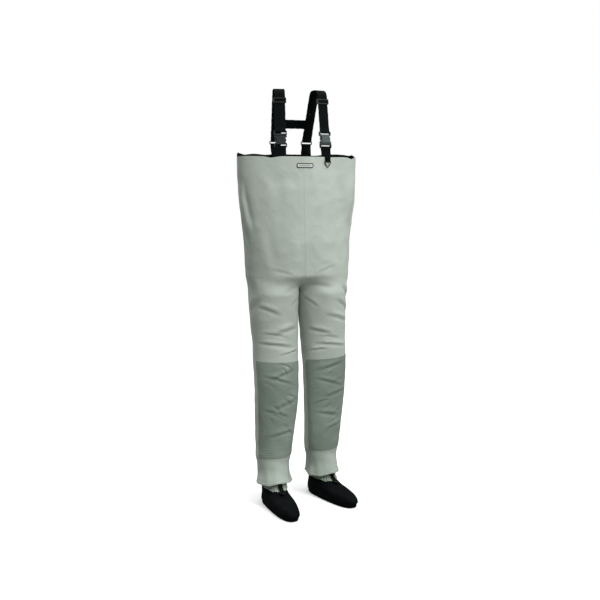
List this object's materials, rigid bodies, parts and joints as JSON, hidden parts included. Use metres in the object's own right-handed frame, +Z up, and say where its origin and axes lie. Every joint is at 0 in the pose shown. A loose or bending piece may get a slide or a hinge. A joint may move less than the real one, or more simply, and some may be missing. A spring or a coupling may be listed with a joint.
{
  "type": "chest waders",
  "caption": "Stockingfoot chest waders with knee patches, gravel guards, neoprene socks and H-back webbing braces with side-release buckles.",
  "frame": {"origin": "middle of the overall box at floor level, under the soles", "axes": "+Z up, the wearer faces -Y, +X is the wearer's left"},
  "size_m": [0.472, 0.3914, 1.568],
  "materials": {
    "shell_fabric": "matte",
    "patch_fabric": "matte",
    "guard_fabric": "matte",
    "seam_tape": "satin",
    "facing_fabric": "matte",
    "neoprene": "matte",
    "webbing": "matte",
    "buckle_plastic": "satin",
    "dark_metal": "satin",
    "badge": "satin"
  },
  "bodies": {
    "waders": {"ankle_sleeve_left": "guard_fabric", "ankle_sleeve_right": "guard_fabric", "back_facing": "facing_fabric", "back_panel_left": "shell_fabric", "back_panel_right": "shell_fabric", "back_rim_elastic": "facing_fabric", "back_ring_left": "buckle_plastic", "back_ring_right": "buckle_plastic", "back_seam_tape": "seam_tape", "back_strap_left": "webbing", "back_strap_right": "webbing", "back_tab_left": "webbing", "back_tab_right": "webbing", "buckle_plug_left": "buckle_plastic", "buckle_socket_right": "buckle_plastic", "chest_badge": "badge", "chest_loop": "webbing", "cross_strap": "webbing", "front_facing": "facing_fabric", "front_panel_left": "shell_fabric", "front_panel_right": "shell_fabric", "front_seam_tape": "seam_tape", "front_tab_left": "webbing", "front_tab_right": "webbing", "gravel_guard_left": "guard_fabric", "gravel_guard_right": "guard_fabric", "guard_cuff_left": "guard_fabric", "guard_cuff_right": "guard_fabric", "guard_hem_left": "guard_fabric", "guard_hem_right": "guard_fabric", "inseam_tape_left": "seam_tape", "inseam_tape_right": "seam_tape", "knee_patch_left": "patch_fabric", "knee_patch_right": "patch_fabric", "lace_tab_left": "webbing", "lace_tab_right": "webbing", "shoulder_strap_left": "webbing", "shoulder_strap_right": "webbing", "side_seam_tape_left": "seam_tape", "side_seam_tape_right": "seam_tape", "sock_seam_tape_left": "seam_tape", "sock_seam_tape_right": "seam_tape", "sock_sole_left": "neoprene", "sock_sole_right": "neoprene", "sock_upper_left": "neoprene", "sock_upper_right": "neoprene"},
    "brace_end_left": {"buckle_socket_left": "buckle_plastic", "front_loop_left": "webbing"},
    "adjuster_left": {"adjuster_left": "buckle_plastic"},
    "plug_arm_outer_left": {"plug_arm_outer_left": "buckle_plastic"},
    "plug_arm_inner_left": {"plug_arm_inner_left": "buckle_plastic"},
    "lace_hook_left": {"lace_hook_left": "dark_metal"},
    "brace_end_right": {"buckle_plug_right": "buckle_plastic", "front_loop_right": "webbing"},
    "adjuster_right": {"adjuster_right": "buckle_plastic"},
    "plug_arm_outer_right": {"plug_arm_outer_right": "buckle_plastic"},
    "plug_arm_inner_right": {"plug_arm_inner_right": "buckle_plastic"},
    "lace_hook_right": {"lace_hook_right": "dark_metal"},
    "chest_ring": {"chest_ring": "dark_metal"}
  },
  "joints": [
    {"name": "buckle_release_left", "type": "slide", "parent": "waders", "child": "brace_end_left", "axis": [-0.0251, 0.1369, 0.9903], "range_m": [0, 0.04], "deforming": ["shoulder_strap_left", "plug_arm_inner_left", "plug_arm_outer_left"]},
    {"name": "adjuster_slide_left", "type": "slide", "parent": "brace_end_left", "child": "adjuster_left", "axis": [0.0251, -0.1369, -0.9903], "range_m": [0, 0.085]},
    {"name": "arm_squeeze_outer_left", "type": "hinge", "parent": "waders", "child": "plug_arm_outer_left", "pos_m": [0.10061, 0.03114, 1.37149], "axis": [0.1789, -0.974, 0.1392], "range_deg": [0, 9], "stiffness_Nm_per_rad": 0.02},
    {"name": "arm_squeeze_inner_left", "type": "hinge", "parent": "waders", "child": "plug_arm_inner_left", "pos_m": [0.07504, 0.02644, 1.37149], "axis": [-0.1789, 0.974, -0.1392], "range_deg": [0, 9], "stiffness_Nm_per_rad": 0.02},
    {"name": "lace_hook_swing_left", "type": "hinge", "parent": "waders", "child": "lace_hook_left", "pos_m": [0.11629, -0.02577, 0.074], "axis": [-0.9563, -0.2924, 0], "range_deg": [0, 75]},
    {"name": "buckle_release_right", "type": "slide", "parent": "waders", "child": "brace_end_right", "axis": [0.0251, 0.1369, 0.9903], "range_m": [0, 0.04], "deforming": ["shoulder_strap_right", "plug_arm_inner_right", "plug_arm_outer_right"]},
    {"name": "adjuster_slide_right", "type": "slide", "parent": "brace_end_right", "child": "adjuster_right", "axis": [-0.0251, -0.1369, -0.9903], "range_m": [0, 0.085]},
    {"name": "arm_squeeze_outer_right", "type": "hinge", "parent": "brace_end_right", "child": "plug_arm_outer_right", "pos_m": [-0.10004, 0.03429, 1.39427], "axis": [-0.1789, -0.974, 0.1392], "range_deg": [0, 9], "stiffness_Nm_per_rad": 0.02},
    {"name": "arm_squeeze_inner_right", "type": "hinge", "parent": "brace_end_right", "child": "plug_arm_inner_right", "pos_m": [-0.07446, 0.02959, 1.39427], "axis": [0.1789, 0.974, -0.1392], "range_deg": [0, 9], "stiffness_Nm_per_rad": 0.02},
    {"name": "lace_hook_swing_right", "type": "hinge", "parent": "waders", "child": "lace_hook_right", "pos_m": [-0.11725, -0.07576, 0.074], "axis": [-0.9976, -0.0698, 0], "range_deg": [0, 75]},
    {"name": "chest_ring_swing", "type": "hinge", "parent": "waders", "child": "chest_ring", "pos_m": [0.09118, 0.01056, 1.303], "axis": [-0.9835, -0.1806, 0], "range_deg": [0, 120]}
  ],
  "couplings": [
    {"joint": "arm_squeeze_inner_left", "follows": "arm_squeeze_outer_left", "ratio": 1},
    {"joint": "arm_squeeze_inner_right", "follows": "arm_squeeze_outer_right", "ratio": 1}
  ]
}
